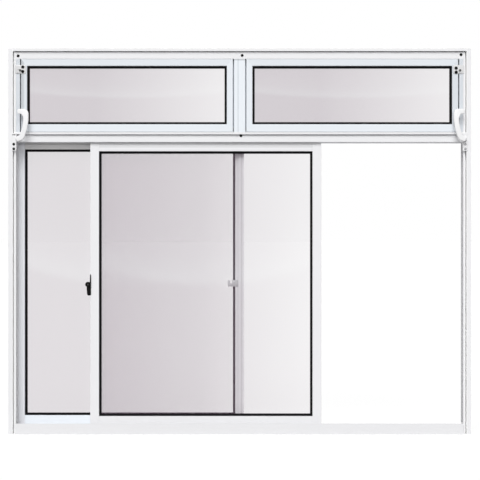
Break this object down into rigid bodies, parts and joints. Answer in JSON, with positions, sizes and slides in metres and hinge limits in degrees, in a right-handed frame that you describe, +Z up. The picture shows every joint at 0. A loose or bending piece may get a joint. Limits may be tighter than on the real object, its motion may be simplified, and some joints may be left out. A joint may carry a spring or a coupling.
{
  "type": "sliding window",
  "caption": "White aluminium window with sliding sashes on a two-track sill, and hinged vents with curved levers above a transom bar.",
  "frame": {"origin": "middle of the sill's cover flange, on its back face, where the window rests on the wall round its opening", "axes": "+X to the right and +Z up as seen from the room, +Y from the room to the open air"},
  "size_m": [1.2, 0.0971, 1],
  "materials": {
    "frame_white": "satin white powder coat",
    "glazing": "clear float glass with a light film",
    "gasket_rubber": "matt black",
    "seal_pile": "grey-brown pile",
    "roller_plastic": "matt nylon",
    "latch_black": "satin black",
    "keeper_metal": "brushed",
    "lever_white": "gloss white"
  },
  "bodies": {
    "root": {"frame_head": "frame_white", "frame_left_jamb": "frame_white", "frame_right_jamb": "frame_white", "frame_sill": "frame_white", "front_sash_bottom_rail": "frame_white", "front_sash_gasket": "gasket_rubber", "front_sash_glass": "glazing", "front_sash_left_stile": "frame_white", "front_sash_right_stile": "frame_white", "front_sash_rollers": "roller_plastic", "front_sash_top_rail": "frame_white", "latch_body": "latch_black", "latch_cam": "latch_black", "latch_keeper": "keeper_metal", "left_jamb_seal": "seal_pile", "left_lever": "lever_white", "left_lever_plate": "lever_white", "left_pivot": "lever_white", "left_vent_bottom_rail": "frame_white", "left_vent_filler": "frame_white", "left_vent_gasket": "gasket_rubber", "left_vent_glass": "glazing", "left_vent_left_stile": "frame_white", "left_vent_right_stile": "frame_white", "left_vent_top_rail": "frame_white", "rear_sash_bottom_rail": "frame_white", "rear_sash_gasket": "gasket_rubber", "rear_sash_glass": "glazing", "rear_sash_left_stile": "frame_white", "rear_sash_right_stile": "frame_white", "rear_sash_rollers": "roller_plastic", "rear_sash_top_rail": "frame_white", "right_jamb_seal": "seal_pile", "right_lever": "lever_white", "right_lever_plate": "lever_white", "right_pivot": "lever_white", "right_vent_bottom_rail": "frame_white", "right_vent_filler": "frame_white", "right_vent_gasket": "gasket_rubber", "right_vent_glass": "glazing", "right_vent_left_stile": "frame_white", "right_vent_right_stile": "frame_white", "right_vent_top_rail": "frame_white", "transom_bar": "frame_white", "vent_mullion": "frame_white"}
  },
  "joints": []
}
